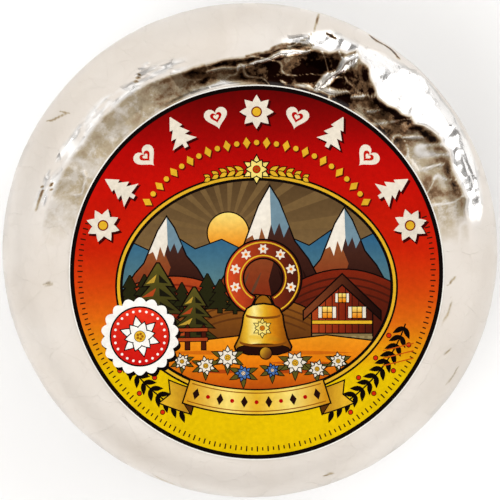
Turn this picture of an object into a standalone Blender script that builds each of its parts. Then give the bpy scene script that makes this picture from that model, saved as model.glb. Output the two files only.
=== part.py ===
"""A whole small cheese wheel wrapped in aluminium foil, with a round paper label on its upper face.

Metres, +Z up. The wheel stands on its flat underside, whose middle is the origin, and +Y is the label's top.
The foil is laid over the upper face and drawn down the sides, so its spare width lies in pleats that start
below the shoulder and deepen towards the foot. The food inside fills the foil, so the two are one solid.
"""

import math
import random

import bpy
import numpy as np
from mathutils import Vector, noise

# The wrapped wheel
WHEEL_RADIUS = 0.057
WHEEL_HEIGHT = 0.084  # of the upper face
EDGE_ROUND = 0.009  # radius of the shoulder and of the foot
BARREL = 0.0006  # how far the middle of the side stands out

# The label
LABEL_RADIUS = 0.0428
LABEL_MIDDLE = (0.0015, -0.0051)
LABEL_THICKNESS = 0.0003
LABEL_GAP = 0.0003
LABEL_SIDES = 120

# The raised rim round the far half of the upper face, as (degrees anticlockwise from +X, metres)
RIM_CREST = (
    (0, 0.0505), (30, 0.0500), (47, 0.0458), (60, 0.0508), (75, 0.0482), (92, 0.0440),
    (112, 0.0434), (128, 0.0450), (152, 0.0456), (168, 0.0474), (180, 0.0485),
)
RIM_LIFT = (
    (-6, 0.0), (12, 0.0014), (30, 0.0024), (60, 0.0028), (95, 0.0025), (130, 0.0018),
    (155, 0.0015), (172, 0.0007), (190, 0.0),
)
RIM_START = 0.0008  # clear strip between the label and the start of the rim
RIM_RUN = 0.012  # how far outside its crest the rim has fallen away
RIM_HOLLOW = 0.6  # 0 is a straight inner slope, 1 one that starts level

# The crumpled patch outside the rim
CRUMPLE_SPAN = (5, 82)  # degrees
CRUMPLE_BAND = (0.045, 0.059)  # distance along the profile from the middle of the upper face
CRUMPLE_FADE = 0.18  # share of the span and of the band over which the patch fades in
CRUMPLE_CELL = 0.0045
CRUMPLE_DEPTH = 0.0007

# The pleats down the side
PLEATS = 24
PLEAT_COLUMNS = 6
PLEAT_JITTER = 0.22  # of the spacing
PLEAT_LEAN = 0.30  # of the spacing, between the shoulder and the foot
PLEAT_STEP = 0.06  # share of the spacing that the step at a pleat's edge takes
PLEAT_TOP = (0.042, 0.073)
PLEAT_RUN = 0.045  # how far below its top a pleat reaches its full depth
PLEAT_DEPTH = (0.0006, 0.0013)
PLEAT_SEED = 11

# How the turned profile is cut into rows
FACE_ROWS = (0.020, 0.0355, 0.0375, 0.0395, 0.0415, 0.0435, 0.0450, 0.0465)
SHOULDER_ROWS = 8
SIDE_ROWS = 9
FOOT_ROWS = 5
WELD = 0.00001

FLAT_RADIUS = WHEEL_RADIUS - EDGE_ROUND
SIDE_TOP = WHEEL_HEIGHT - EDGE_ROUND

FOIL_COLOUR = (0.80, 0.77, 0.73, 1.0)
PAPER_COLOUR = (0.76, 0.13, 0.02, 1.0)


def clear_scene():
    for item in list(bpy.data.objects):
        bpy.data.objects.remove(item)


def new_material(name, colour, metallic, roughness):
    material = bpy.data.materials.new(name)
    material.use_nodes = True
    shader = material.node_tree.nodes["Principled BSDF"]
    shader.inputs["Base Color"].default_value = colour
    shader.inputs["Metallic"].default_value = metallic
    shader.inputs["Roughness"].default_value = roughness
    return material


def smooth(value):
    """0 below 0, 1 above 1 and an S curve between them."""
    value = np.clip(value, 0.0, 1.0)
    return value * value * (3.0 - 2.0 * value)


def by_angle(pairs, angle):
    """The value at an angle in radians, straight between (degrees, value) pairs and level past their ends."""
    degrees = (np.degrees(angle) + 90.0) % 360.0 - 90.0
    return np.interp(degrees, [pair[0] for pair in pairs], [pair[1] for pair in pairs])


def patch(value, low, high, fade):
    """1 well inside a range and 0 outside it, with a fade that takes a share of the range at each end."""
    share = (value - low) / (high - low)
    return smooth(share / fade) * smooth((1.0 - share) / fade)


def turned_profile():
    """The outline as (radius, height), from the middle of the upper face to the middle of the underside."""
    points = [(0.0, WHEEL_HEIGHT)]
    points += [(radius, WHEEL_HEIGHT) for radius in FACE_ROWS]
    for row in range(SHOULDER_ROWS + 1):
        turn = row / SHOULDER_ROWS * math.pi / 2
        points.append((FLAT_RADIUS + EDGE_ROUND * math.sin(turn), SIDE_TOP + EDGE_ROUND * math.cos(turn)))
    for row in range(1, SIDE_ROWS):
        points.append((WHEEL_RADIUS, SIDE_TOP + (EDGE_ROUND - SIDE_TOP) * row / SIDE_ROWS))
    for row in range(FOOT_ROWS + 1):
        turn = row / FOOT_ROWS * math.pi / 2
        points.append((FLAT_RADIUS + EDGE_ROUND * math.cos(turn), EDGE_ROUND - EDGE_ROUND * math.sin(turn)))
    points.append((0.0, 0.0))
    return points


def outward(radius, height):
    """The direction out of the turned form, as its radial and its upward share."""
    across = radius - np.minimum(radius, FLAT_RADIUS)
    up = height - np.clip(height, EDGE_ROUND, SIDE_TOP)
    length = np.maximum(np.hypot(across, up), WELD)
    return across / length, up / length


def path_from_top(radius, height):
    """Distance along the profile from the middle of the upper face, as far as the foot."""
    across = np.maximum(radius - FLAT_RADIUS, 0.0)
    up = np.maximum(height - SIDE_TOP, 0.0)
    shoulder = EDGE_ROUND * np.arctan2(across, np.maximum(up, WELD))
    return np.minimum(radius, FLAT_RADIUS) + shoulder + np.maximum(SIDE_TOP - height, 0.0)


def label_edge(angle):
    """How far the label's edge is from the wheel's axis."""
    x, y = LABEL_MIDDLE
    along = x * np.cos(angle) + y * np.sin(angle)
    return along + np.sqrt(LABEL_RADIUS**2 - x * x - y * y + along * along)


def rim_height(angle, path):
    """The raised rim: a hollow slope up from the label, a crest, and a long fall outside it."""
    crest = by_angle(RIM_CREST, angle)
    start = label_edge(angle) + RIM_START
    inside = np.clip((path - start) / (crest - start), 0.0, 1.0)
    outside = np.clip((path - crest) / RIM_RUN, 0.0, 1.0)
    slope = inside * (1.0 - RIM_HOLLOW + RIM_HOLLOW * inside)
    return by_angle(RIM_LIFT, angle) * np.where(path < crest, slope, (1.0 - outside) ** 2)


def crumple_height(angle, path, points):
    """Dents and peaks of crushed foil, in one patch of the shoulder."""
    weight = patch(np.degrees(angle) % 360.0, *CRUMPLE_SPAN, CRUMPLE_FADE) * patch(path, *CRUMPLE_BAND, CRUMPLE_FADE)
    bumps = [noise.noise(Vector(point) / CRUMPLE_CELL) for point in points]
    return CRUMPLE_DEPTH * weight * np.array(bumps)


def pleat_layout():
    """For each pleat, the angle of its edge, how far that edge leans, its top's height and its full depth."""
    draw = random.Random(PLEAT_SEED)
    spacing = 2 * math.pi / PLEATS
    rows = []
    for number in range(PLEATS):
        edge = (number + draw.uniform(-PLEAT_JITTER, PLEAT_JITTER)) * spacing
        lean = draw.uniform(-PLEAT_LEAN, PLEAT_LEAN) * spacing
        rows.append((edge, lean, draw.uniform(*PLEAT_TOP), draw.uniform(*PLEAT_DEPTH)))
    return np.array(rows)


def place_columns(turn, height):
    """Moves even columns onto the pleats: gives each point's angle and how far its pleat lifts it."""
    layout = pleat_layout()
    column = np.round(turn / (2 * math.pi) * PLEATS * PLEAT_COLUMNS).astype(int) % (PLEATS * PLEAT_COLUMNS)
    pleat, place = column // PLEAT_COLUMNS, column % PLEAT_COLUMNS
    share = np.where(place == 0, 0.0, PLEAT_STEP + (1.0 - PLEAT_STEP) * (place - 1) / (PLEAT_COLUMNS - 1))
    following = (pleat + 1) % PLEATS
    lean = smooth((SIDE_TOP - height) / SIDE_TOP)
    start = layout[pleat, 0] + layout[pleat, 1] * lean
    end = layout[following, 0] + layout[following, 1] * lean + np.where(following == 0, 2 * math.pi, 0.0)
    depth = layout[pleat, 3] * smooth((layout[pleat, 2] - height) / PLEAT_RUN)
    return start + (end - start) * share, depth * np.where(place == 0, 0.0, 1.0 - share)


def turn_wheel():
    """The plain turned wheel, as a mesh of its own."""
    outline = bpy.data.meshes.new("foil_wrap_profile")
    points = [(radius, 0.0, height) for radius, height in turned_profile()]
    outline.from_pydata(points, [(row, row + 1) for row in range(len(points) - 1)], [])
    wheel = bpy.data.objects.new("foil_wrap", outline)
    bpy.context.scene.collection.objects.link(wheel)
    screw = wheel.modifiers.new("Turn", "SCREW")
    screw.axis = "Z"
    screw.steps = PLEATS * PLEAT_COLUMNS
    screw.render_steps = screw.steps
    screw.use_merge_vertices = True
    screw.merge_threshold = WELD
    turned = bpy.data.meshes.new_from_object(wheel.evaluated_get(bpy.context.evaluated_depsgraph_get()))
    bpy.context.scene.collection.objects.unlink(wheel)
    wheel.modifiers.clear()
    wheel.data = turned
    return wheel


def shape_foil(wheel):
    """Moves the turned wheel's points out to the rim, the crumpled patch, the barrelled side and the pleats."""
    mesh = wheel.data
    points = np.empty(len(mesh.vertices) * 3)
    mesh.vertices.foreach_get("co", points)
    points = points.reshape(-1, 3)
    radius, height = np.hypot(points[:, 0], points[:, 1]), points[:, 2]
    angle, pleat = place_columns(np.arctan2(points[:, 1], points[:, 0]) % (2 * math.pi), height)
    path = path_from_top(radius, height)
    across, up = outward(radius, height)

    side = np.clip((height - EDGE_ROUND) / (SIDE_TOP - EDGE_ROUND), 0.0, 1.0)
    out = pleat + BARREL * 4.0 * side * (1.0 - side) + crumple_height(angle, path, points)
    radius = radius + out * across
    height = height + np.maximum(out * up, 0.0) * (height > SIDE_TOP) + rim_height(angle, path)

    points = np.column_stack((radius * np.cos(angle), radius * np.sin(angle), height))
    mesh.vertices.foreach_set("co", points.ravel())
    mesh.update()


def make_foil_wrap(collection):
    wheel = turn_wheel()
    shape_foil(wheel)
    wheel.data.materials.append(new_material("foil", FOIL_COLOUR, 1.0, 0.35))
    wheel.data.shade_smooth()
    collection.objects.link(wheel)


def make_label(collection):
    bpy.ops.mesh.primitive_cylinder_add(vertices=LABEL_SIDES, radius=LABEL_RADIUS, depth=LABEL_THICKNESS)
    label = bpy.context.object
    label.name = "label"
    label.location = (*LABEL_MIDDLE, WHEEL_HEIGHT + LABEL_GAP + LABEL_THICKNESS / 2)
    label.data.materials.append(new_material("label_paper", PAPER_COLOUR, 0.0, 0.5))
    label.users_collection[0].objects.unlink(label)
    collection.objects.link(label)


def main():
    clear_scene()
    collection = bpy.data.collections.new("foil_wrapped_cheese_wheel")
    bpy.context.scene.collection.children.link(collection)
    make_foil_wrap(collection)
    make_label(collection)


main()
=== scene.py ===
"""A small whole cheese in aluminium foil: its crumpled foil, its printed paper label and the studio.

Metres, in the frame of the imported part: +Z up, +Y the top of the label. The label's design is drawn in
millimetres from the label's middle and set to its real size when the sheet is made.
"""

import math
import random

import bpy
import numpy as np
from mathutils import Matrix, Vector
from mathutils.geometry import delaunay_2d_cdt


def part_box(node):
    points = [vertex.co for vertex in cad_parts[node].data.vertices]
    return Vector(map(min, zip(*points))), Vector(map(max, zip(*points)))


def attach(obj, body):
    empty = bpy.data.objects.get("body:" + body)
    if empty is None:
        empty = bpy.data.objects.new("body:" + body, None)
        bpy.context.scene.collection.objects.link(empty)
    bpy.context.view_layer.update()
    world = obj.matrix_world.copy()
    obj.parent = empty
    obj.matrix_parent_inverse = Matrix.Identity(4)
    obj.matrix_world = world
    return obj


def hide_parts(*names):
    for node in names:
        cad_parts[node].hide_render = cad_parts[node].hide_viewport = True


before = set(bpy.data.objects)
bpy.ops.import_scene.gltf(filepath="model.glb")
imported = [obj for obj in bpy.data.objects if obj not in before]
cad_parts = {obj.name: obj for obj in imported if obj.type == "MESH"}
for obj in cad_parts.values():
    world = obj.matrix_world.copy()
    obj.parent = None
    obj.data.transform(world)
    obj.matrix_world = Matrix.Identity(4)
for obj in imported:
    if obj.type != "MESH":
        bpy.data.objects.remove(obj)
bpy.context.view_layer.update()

# The wrapped wheel, as in the part's own source
WHEEL_RADIUS = 0.057
WHEEL_HEIGHT = 0.084
EDGE_ROUND = 0.009
BARREL = 0.0006
FLAT_RADIUS = WHEEL_RADIUS - EDGE_ROUND
SIDE_TOP = WHEEL_HEIGHT - EDGE_ROUND

# The label, from its solid
LABEL_LOW, LABEL_HIGH = (np.array(corner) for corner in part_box("label"))
LABEL_MIDDLE = (LABEL_LOW + LABEL_HIGH)[:2] / 2
LABEL_RADIUS = (LABEL_HIGH - LABEL_LOW)[0] / 2
PAPER_THICKNESS = 0.0002
PAPER_TOP = LABEL_LOW[2] + 0.00005
PAPER_WAVE = 0.00010
PAPER_WAVE_LENGTH = 17  # mm
MM = 0.001

# The raised rim, as (degrees anticlockwise from +X, value)
RIM_CREST = (
    (0, 0.0505), (15, 0.0503), (30, 0.0500), (40, 0.0466), (50, 0.0455), (57, 0.0492), (62, 0.0512),
    (67, 0.0490), (75, 0.0482), (80, 0.0472), (85, 0.0452), (92, 0.0438), (110, 0.0434), (125, 0.0448),
    (150, 0.0456), (165, 0.0470), (180, 0.0485),
)
RIM_LIFT = (
    (-6, 0), (12, 0.0014), (30, 0.0024), (60, 0.0028), (95, 0.0025), (130, 0.0018),
    (155, 0.0015), (172, 0.0007), (190, 0),
)
RIM_FLOOR = ((0, 0.55), (30, 0.55), (44, 0.40), (54, 0.10), (112, 0.05), (126, 0.30), (172, 0.45))
RIM_START = 0.0006
RIM_RUN = 0.012

# The pleats, as in the part's own source
PLEATS = 24
PLEAT_JITTER = 0.22
PLEAT_LEAN = 0.30
PLEAT_STEP = 0.035
PLEAT_TOP = (0.042, 0.073)
PLEAT_RUN = 0.045
PLEAT_DEPTH = (0.0006, 0.0013)
PLEAT_SEED = 11


def smooth(value):
    """0 below 0, 1 above 1 and an S curve between them."""
    value = np.clip(value, 0, 1)
    return value * value * (3 - 2 * value)


def degrees_of(angle):
    """Degrees from -90 to 270, so that the rim's range has no break."""
    return (np.degrees(angle) + 90) % 360 - 90


def direction(azimuth, tilt):
    """A unit vector, by degrees anticlockwise from +X and degrees down from straight up."""
    azimuth, tilt = math.radians(azimuth), math.radians(tilt)
    return Vector((math.sin(tilt) * math.cos(azimuth), math.sin(tilt) * math.sin(azimuth), math.cos(tilt)))


def by_angle(pairs, angle):
    """The value at an angle, straight between (degrees, value) pairs and level past their ends."""
    return np.interp(degrees_of(angle), [pair[0] for pair in pairs], [pair[1] for pair in pairs])


def rise(value, start, run):
    """0 up to a start, then an S curve up to 1 over a run."""
    return smooth((value - start) / run)


def fall(value, end, run):
    """An S curve down from 1 over the run before an end, and 0 past it."""
    return smooth((end - value) / run)


def patch(value, low, high, run):
    """1 inside a range and 0 outside it."""
    return rise(value, low, run) * fall(value, high, run)


class Waves:
    """Smooth random heights from -1 to 1 over a grid of squares that repeats after `size` of them."""

    def __init__(self, seed, size=128):
        self.size = size
        self.heights = np.random.default_rng(seed).uniform(-1, 1, (size, size))

    def at(self, column, row):
        return self.heights[column % self.size, row % self.size]

    def __call__(self, x, y):
        column, row = np.floor(x).astype(int), np.floor(y).astype(int)
        across, along = smooth(x - column), smooth(y - row)
        near = self.at(column, row) * (1 - across) + self.at(column + 1, row) * across
        far = self.at(column, row + 1) * (1 - across) + self.at(column + 1, row + 1) * across
        return near * (1 - along) + far * along


class Facets(Waves):
    """The same heights joined by flat triangles, like crushed foil."""

    def __call__(self, x, y):
        column, row = np.floor(x).astype(int), np.floor(y).astype(int)
        across, along = x - column, y - row
        swapped = (column + row) % 2
        across = np.where(swapped, 1 - across, across)
        left, right = column + swapped, column + 1 - swapped
        corner, opposite = self.at(left, row), self.at(right, row + 1)
        beside = np.where(across > along, self.at(right, row), self.at(left, row + 1))
        longer, shorter = np.maximum(across, along), np.minimum(across, along)
        return corner * (1 - longer) + beside * (longer - shorter) + opposite * shorter


class Cracks(Waves):
    """1 on the lines along which smooth random heights change sign, falling to 0 at either side."""

    def __init__(self, seed, size=128, width=0.14):
        super().__init__(seed, size)
        self.width = width

    def __call__(self, x, y):
        return np.clip(1 - np.abs(super().__call__(x, y)) / self.width, 0, 1)


def crumples(noise, size, first, second, shift=0, second_shift=0):
    """Random heights of a size, as (height, length along the first direction, length along the second)."""
    height, length, second_length = size
    return height * noise(first / length + shift, second / second_length + second_shift)


# Ink colours, as sRGB numbers from 0 to 255
WHITE = (250, 247, 240)
BLACK = (10, 3, 2)
CREAM = (233, 223, 205)
DARK_RED = (98, 0, 0)
RED = (176, 4, 3)
VERMILION = (200, 31, 3)
ORANGE = (219, 105, 14)
YELLOW = (228, 190, 0)
GOLD = (226, 176, 40)
PALE_GOLD = (246, 222, 120)
OLD_GOLD = (150, 92, 14)
TEAL = (40, 92, 130)
PALE_TEAL = (88, 122, 124)
SLATE = (48, 58, 72)
TAN = (84, 62, 36)
PALE_TAN = (136, 108, 68)
RUST = (122, 34, 12)
PALE_RUST = (170, 66, 26)
BROWN = (70, 22, 10)
DARK_BROWN = (32, 9, 5)
OLIVE = (88, 80, 28)
DARK_OLIVE = (34, 34, 12)
AMBER = (228, 122, 8)


def flat(colour):
    """An ink of one colour."""
    return lambda points: np.tile(np.array(colour, float), (len(points), 1))


def fade(start, end, *stops):
    """An ink that runs through (share, colour) stops from one point to another."""
    start, end = np.array(start, float), np.array(end, float)
    along = (end - start) / np.dot(end - start, end - start)
    shares = [share for share, _ in stops]

    def ink(points):
        place = (points - start) @ along
        colours = zip(*(colour for _, colour in stops))
        return np.column_stack([np.interp(place, shares, values) for values in colours])

    return ink


def blend(start, end, first, last):
    """An ink that runs from one colour to another between two points."""
    return fade(start, end, (0, first), (1, last))


def turned_left(outline):
    """The same outline, anticlockwise and without doubled points."""
    outline = outline[np.linalg.norm(outline - np.roll(outline, 1, axis=0), axis=1) > 1e-4]
    x, y = outline[:, 0], outline[:, 1]
    area = np.sum(x * np.roll(y, -1) - y * np.roll(x, -1))
    return outline if area > 0 else outline[::-1]


def grow(outline, margin):
    """The outline moved outward by a margin, with its sharp corners held back."""
    outline = turned_left(np.array(outline, float))
    before, after = outline - np.roll(outline, 1, axis=0), np.roll(outline, -1, axis=0) - outline
    before /= np.linalg.norm(before, axis=1, keepdims=True)
    after /= np.linalg.norm(after, axis=1, keepdims=True)
    first = np.column_stack((before[:, 1], -before[:, 0]))
    second = np.column_stack((after[:, 1], -after[:, 0]))
    spread = np.maximum(1 + np.sum(first * second, axis=1), 0.35)
    return outline + margin * (first + second) / spread[:, None]


def arc(middle, radius, start, end, steps, squash=1):
    """Points on an arc between two angles in degrees."""
    turn = np.radians(np.linspace(start, end, steps))
    return np.column_stack((middle[0] + radius * np.cos(turn), middle[1] + radius * squash * np.sin(turn)))


def disc(middle, radius, sides=28, squash=1):
    return arc(middle, radius, 0, 360 * (1 - 1 / sides), sides, squash)


def strip(middle, inner, outer, start, end, steps, squash=1):
    """The closed band between two arcs."""
    out = arc(middle, outer, start, end, steps, squash)
    back = arc(middle, inner, end, start, steps, squash)
    return np.vstack((out, back))


def box(left, foot, right, top):
    return [(left, foot), (right, foot), (right, top), (left, top)]


def diamond(wide, tall):
    return [(wide, 0), (0, tall), (-wide, 0), (0, -tall)]


def spot(radius, angle, middle=(0, 0)):
    """The point at a distance and an angle in degrees from another."""
    return arc(middle, radius, angle, angle, 1)[0]


def placed(outline, middle, turn=0, scale=1):
    """An outline turned by degrees, scaled and moved."""
    turn = math.radians(turn)
    matrix = np.array(((math.cos(turn), math.sin(turn)), (-math.sin(turn), math.cos(turn))))
    return np.array(outline, float) * scale @ matrix + np.array(middle)


def mirrored(half):
    """A closed outline from its right half, which runs up from the foot to the top."""
    half = np.array(half, float)
    return np.vstack((half, (half * (-1, 1))[::-1]))


def leaf(length, width, steps=6):
    """A leaf from the origin along +Y."""
    share = np.linspace(0, 1, steps)
    side = width / 2 * np.sin(np.pi * share**0.8)
    right = np.column_stack((side, length * share))
    left = np.column_stack((-side, length * share))[::-1]
    return np.vstack((right, left[1:-1]))


def fir(tiers=3, trunk=0.14):
    """A fir tree one unit tall, standing on the origin."""
    half = [(0.06, 0), (0.06, trunk)]
    for tier in range(tiers):
        low = trunk + (1 - trunk) * tier / tiers * 0.92
        wide = 0.40 * (1 - 0.72 * tier / tiers)
        half += [(wide, low - 0.03), (wide * 0.36, low + 0.78 * (1 - trunk) / tiers)]
    half[-1] = (0.012, 1)
    return mirrored(half)


def heart(steps=14):
    """A heart one unit tall, round the origin."""
    turn = np.linspace(0, 2 * np.pi, 2 * steps, endpoint=False)
    x = np.sin(turn) ** 3
    y = (13 * np.cos(turn) - 5 * np.cos(2 * turn) - 2 * np.cos(3 * turn) - np.cos(4 * turn)) / 16
    return np.column_stack((x * 0.5, y * 0.5))


def scallops(middle, radius, count, depth, steps=8):
    """A round edge of small bulges."""
    turn = np.linspace(0, 2 * np.pi, count * steps, endpoint=False)
    reach = radius + depth * np.abs(np.sin(turn * count / 2))
    return np.column_stack((middle[0] + reach * np.cos(turn), middle[1] + reach * np.sin(turn)))


class Design:
    """Printed shapes laid over one another: each one's outline in millimetres, ink and if it is framed."""

    def __init__(self):
        self.shapes = []
        self.framed = False

    def add(self, outline, ink):
        """While the design is framed, what is added shows only inside the picture's frame."""
        ink = ink if callable(ink) else flat(ink)
        self.shapes.append((turned_left(np.array(outline, float)), ink, self.framed))

    def lined(self, outline, ink, line=0.3):
        """A shape with a black line round it."""
        self.add(grow(outline, line), BLACK)
        self.add(outline, ink)


# The label's layout, in millimetres from its middle
LABEL_EDGE = LABEL_RADIUS / MM
PAPER_MARGIN = 0.26
RING_WIDTH = 0.95
FIELD_EDGE = LABEL_EDGE - PAPER_MARGIN - RING_WIDTH
PICTURE_MIDDLE = (0, -3.2)
PICTURE_REACH = 30.5
PICTURE_SQUASH = 0.79
PICTURE_TOP = PICTURE_MIDDLE[1] + PICTURE_REACH * PICTURE_SQUASH
PICTURE_FOOT = PICTURE_MIDDLE[1] - PICTURE_REACH * PICTURE_SQUASH


def picture_frame(margin=0):
    return grow(disc(PICTURE_MIDDLE, PICTURE_REACH, 120, PICTURE_SQUASH), margin)


def draw_field(art):
    """The paper, its ring and the ground that runs from red at the top to yellow at the foot."""
    art.add(disc((0, 0), LABEL_EDGE, 240), WHITE)
    art.add(disc((0, 0), LABEL_EDGE - PAPER_MARGIN, 240), BLACK)
    ground = fade(
        (0, 41), (0, -23),
        (0, DARK_RED), (0.2, RED), (0.33, (192, 12, 3)), (0.55, VERMILION),
        (0.70, (209, 67, 8)), (0.82, ORANGE), (0.93, (230, 158, 8)), (1, YELLOW),
    )
    art.add(disc((0, 0), FIELD_EDGE, 200), ground)


def draw_flower(art, middle, size, petals, petal_ink, heart_ink, line=0.2, turn=0):
    """A flower of pointed petals in two sizes, like a mountain star."""
    for length, start in ((1, 0), (0.74, 0.5)):
        turns = [turn + (number + start) * 360 / petals for number in range(petals)]
        outlines = [placed(leaf(size * length, size * 0.46), middle, petal) for petal in turns]
        for outline in outlines:
            art.add(grow(outline, line), BLACK)
        for outline in outlines:
            art.add(outline, petal_ink)
    art.add(disc(middle, size * 0.30, 16), BLACK)
    art.add(disc(middle, size * 0.30 - 0.12, 16), heart_ink)
    for number in range(5):
        art.add(disc(spot(size * 0.13, number * 72, middle), size * 0.07, 8), OLD_GOLD)


def draw_procession(art):
    """Cream firs, hearts and flowers along the upper edge, each with a dark shadow at its lower right."""
    radius = 36.6
    spacing = 14.6
    motifs = ("flower", "fir", "heart", "fir", "heart", "flower", "heart", "fir", "heart", "fir", "flower")
    for number, motif in enumerate(motifs):
        turn = spacing * (5 - number)
        middle = spot(radius, 90 + turn)
        if motif == "fir":
            draw_shadowed(art, [placed(fir(), spot(radius - 3.9, 90 + turn), turn, 7.8)])
        elif motif == "heart":
            draw_shadowed(art, [placed(heart(), middle, turn, 5.4)])
            art.add(placed(heart(), middle, turn, 2.7), blend((0, 36), (0, 20), RED, VERMILION))
            art.add(placed(heart(), middle, turn, 1.3), CREAM)
        else:
            draw_shadowed(art, [placed(leaf(3.9, 2.1), middle, turn + 45 * petal) for petal in range(8)])
            art.add(disc(middle, 1.25, 18), (120, 4, 2))
            art.add(disc(middle, 0.95, 18), GOLD)


def draw_shadowed(art, outlines):
    """Cream shapes over the shadow of them all."""
    for outline in outlines:
        art.add(grow(outline + (0.38, -0.42), 0.15), (60, 0, 0))
    for outline in outlines:
        art.add(outline, CREAM)


def draw_beads(art):
    """A string of small gold diamonds and beads under the procession."""
    count = 27
    for number in range(count):
        angle = 90 + (number - (count - 1) / 2) * 4.4
        middle = spot(29.6, angle)
        bead = disc(middle, 0.62, 12) if number % 2 else placed(diamond(0.85, 1.3), middle, angle - 90)
        art.add(grow(bead + (0.22, -0.22), 0.12), (96, 6, 4))
        art.add(bead, GOLD)


def draw_sky(art):
    """A tan sky with a low sun and its rays."""
    art.add(picture_frame(), blend((0, PICTURE_TOP), (0, 0), TAN, PALE_TAN))
    sun = (-6.5, 9)
    for number in range(22):
        ray = [(0, 0), (60, -3.4), (60, 3.4)]
        art.add(placed(ray, sun, number * 360 / 22 + 6), (116, 90, 54))
    art.lined(disc(sun, 4.6, 40), blend((-6.5, 14), (-6.5, 4), PALE_GOLD, AMBER))


def draw_mountains(art):
    """A far teal range and three snowy peaks, each with a lit and a shaded side."""
    far = [(-34, -6), (-34, 3.5), (-28, 6.5), (-24, 4.6), (-19, 8.4), (-14, 5.2), (-8, 7.4), (-3, 5),
           (6, 8.6), (12, 6), (18, 10.2), (23, 7), (28, 9.4), (34, 5), (34, -6)]
    art.lined(far, blend((0, 10), (0, -4), TEAL, PALE_TEAL), 0.28)
    draw_peak(art, (-20.5, -7), 19.5, 11.5)
    draw_peak(art, (20, -7), 21.5, 12)
    draw_peak(art, (3, -8), 27.5, 14.5)


def draw_peak(art, foot, height, wide):
    """One peak: its left side lit, its right side in shade, a ragged cap of snow and ribs of rock."""
    x, y = foot

    def at(*shares):
        """Points given as shares of the width, from the middle, and of the height."""
        return [(x + wide * across, y + height * up) for across, up in shares]

    top, bottom = at((0, 1), (0, 0))
    left = at((-1, 0), (-0.62, 0.34), (-0.44, 0.46), (-0.17, 0.84))
    right = at((0.14, 0.88), (0.38, 0.55), (0.60, 0.40), (1, 0))
    rock = fade(top, bottom, (0, (140, 118, 92)), (0.4, (140, 80, 42)), (1, RUST))
    art.lined([*left, top, *right], rock, 0.34)
    spine = at((0.05, 0.78), (-0.05, 0.60), (0.08, 0.42), (-0.02, 0.22), (0.06, 0))
    shade = fade(top, bottom, (0, SLATE), (0.45, (66, 34, 24)), (1, DARK_BROWN))
    art.add([top, *spine, *reversed(right)], shade)
    snow = at((-0.36, 0.57), (-0.27, 0.60), (-0.20, 0.50), (-0.13, 0.66), (-0.05, 0.54), (0.02, 0.69))
    art.add([top, left[3], *snow], blend(*at((-1, 1), (0, 0.5)), WHITE, CREAM))
    shaded_snow = at((0.02, 0.69), (0.07, 0.60), (0.15, 0.70), (0.22, 0.58), (0.30, 0.67))
    art.add([top, *shaded_snow, right[0]], (112, 140, 154))
    rib = leaf(height * 0.24, wide * 0.05)
    for share in (0.30, 0.48, 0.68):
        art.add(placed(rib, (x - wide * share * 1.05, y + height * 0.08), -24), (96, 60, 40))
        art.add(placed(rib, (x + wide * share, y + height * 0.10), 22), DARK_BROWN)


def hill_height(x, start, end, foot, crest):
    """How high a rounded hill between two x values is at each x."""
    return foot + (crest - foot) * np.sin(np.pi * (x - start) / (end - start)) ** 0.8


def draw_hills(art):
    """Rust and brown pastures, with stripes that follow the ground, in front of the peaks."""
    hills = (
        ((-40, 2, -12, -1), RUST, PALE_RUST),
        ((-2, 42, -12, 0.6), BROWN, RUST),
        ((-24, 22, -16, -5.2), (92, 50, 16), (150, 90, 26)),
    )
    for form, low, high in hills:
        start, end, foot, crest = form
        x = np.linspace(start, end, 24)
        crest_line = np.column_stack((x, hill_height(x, *form)))
        outline = np.vstack((crest_line, [(end, foot - 20), (start, foot - 20)]))
        art.lined(outline, blend((0, crest), (0, foot), high, low), 0.32)
        for drop in (1.6, 3.2, 4.8):
            x = np.linspace(start + 6 + drop, end - 6 - drop, 16)
            y = hill_height(x, *form) - drop
            art.add(np.vstack((np.column_stack((x, y)), np.column_stack((x, y - 0.45))[::-1])), low)


def draw_forest(art):
    """Dark firs on the left, with two tall ones in front."""
    draw = random.Random(5)
    for number in range(9):
        x = -29 + number * 3 + draw.uniform(-0.5, 0.5)
        tall = draw.uniform(5.5, 8)
        art.lined(placed(fir(), (x, -8.6 + draw.uniform(-0.8, 0.8)), 0, tall), DARK_OLIVE, 0.2)
    for x, y, tall in ((-22.5, -17.5, 19.5), (-14.2, -19, 15.5)):
        draw_tall_fir(art, (x, y), tall)


def draw_tall_fir(art, foot, tall):
    """A fir with drooping tiers, a dark side and rusty light on its left."""
    x, y = foot
    tree = placed(fir(5, 0.12), foot, 0, tall)
    art.lined(tree, blend(foot, (x, y + tall), DARK_OLIVE, OLIVE), 0.34)
    for tier in range(5):
        low = y + tall * (0.14 + 0.158 * tier)
        high = low + tall * 0.10
        wide = tall * 0.36 * (1 - 0.72 * tier / 5)
        light = [(x - wide * 0.92, low - 0.2), (x - wide * 0.10, high), (x - wide * 0.28, low + 0.1)]
        art.add(light, PALE_RUST if tier % 2 else (188, 150, 50))
        dark = [(x + wide * 0.80, low - 0.1), (x + wide * 0.08, high), (x + wide * 0.1, low + 0.1)]
        art.add(dark, (22, 20, 8))


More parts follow.
